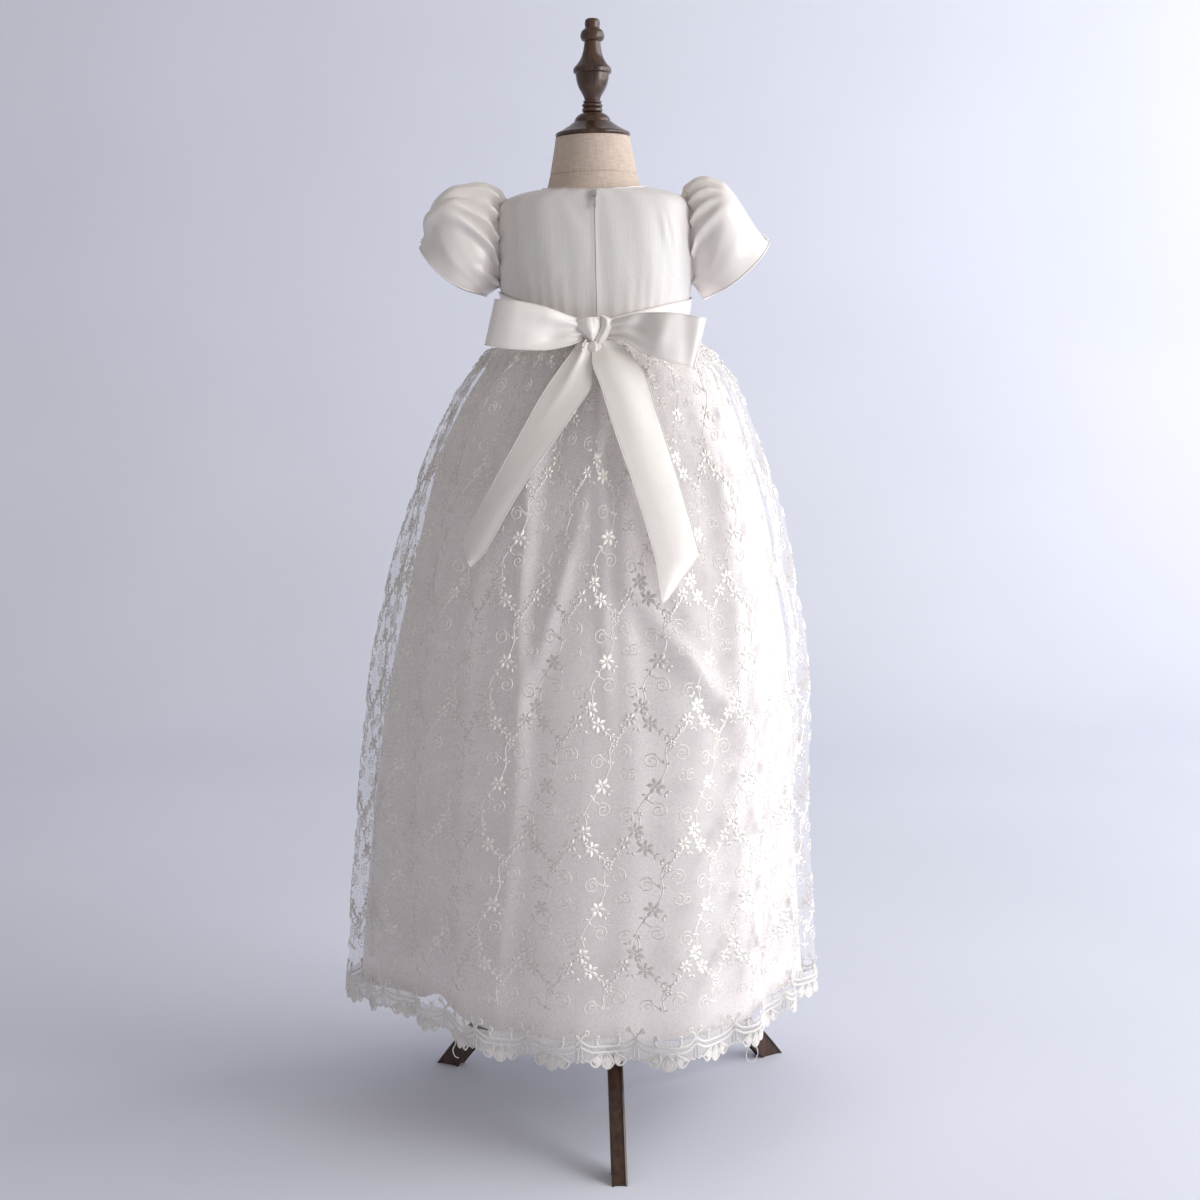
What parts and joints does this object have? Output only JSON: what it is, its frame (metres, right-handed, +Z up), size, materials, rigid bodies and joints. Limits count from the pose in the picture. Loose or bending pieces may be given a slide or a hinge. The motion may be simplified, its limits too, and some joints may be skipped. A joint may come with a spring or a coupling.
{
  "type": "christening gown on a child's dress form",
  "caption": "Christening gown with puff sleeves, satin sash bow and embroidered tulle skirt over satin, standing on a limbless child's dress form on a dark wood tripod.",
  "frame": {"origin": "on the floor, under the middle of the whole object as seen from above", "axes": "+Z up; the gown's back, with the zip and bow, faces -Y, its chest faces +Y and its right side is at +X"},
  "size_m": [0.4479, 0.3996, 0.9935],
  "materials": {
    "bodice": "white slubbed silk-look bodice cloth, low sheen",
    "satin": "white satin, soft sheen",
    "ribbon": "ivory satin ribbon, soft sheen",
    "tulle": "sheer white embroidered tulle",
    "lace": "white corded lace",
    "linen": "undyed beige linen, plain weave",
    "wood": "dark lacquered turned wood",
    "zip": "white zip tape and coil",
    "metal": "bright nickel plate",
    "crystal": "clear cut rhinestone cluster"
  },
  "bodies": {
    "gown_on_form": {"bodice_front": "bodice", "bodice_back_left": "bodice", "bodice_back_right": "bodice", "sleeve_left": "satin", "sleeve_right": "satin", "sleeve_ornament_left": "crystal", "sleeve_ornament_right": "crystal", "waist_sash": "ribbon", "bow_knot": "ribbon", "bow_loop_left": "ribbon", "bow_loop_right": "ribbon", "bow_tail_left": "ribbon", "bow_tail_right": "ribbon", "skirt_lining_front": "satin", "skirt_lining_back_left": "satin", "skirt_lining_back_right": "satin", "skirt_overlay_front": "tulle", "skirt_overlay_back_left": "tulle", "skirt_overlay_back_right": "tulle", "hem_lace_front": "lace", "hem_lace_back_left": "lace", "hem_lace_back_right": "lace", "zip_chain": "zip", "zip_slider": "metal", "form_torso": "linen", "form_neck_cap": "wood", "form_finial": "wood", "stand_pole": "wood", "stand_hub": "wood", "leg_front": "wood", "leg_rear_right": "wood", "leg_rear_left": "wood"},
    "zip_pull": {"zip_pull": "metal"}
  },
  "joints": [
    {"name": "zip_pull_swing", "type": "hinge", "parent": "gown_on_form", "child": "zip_pull", "pos_m": [0.0305, -0.05384, 0.83713], "axis": [-1, 0, 0], "range_deg": [0, 150]}
  ]
}
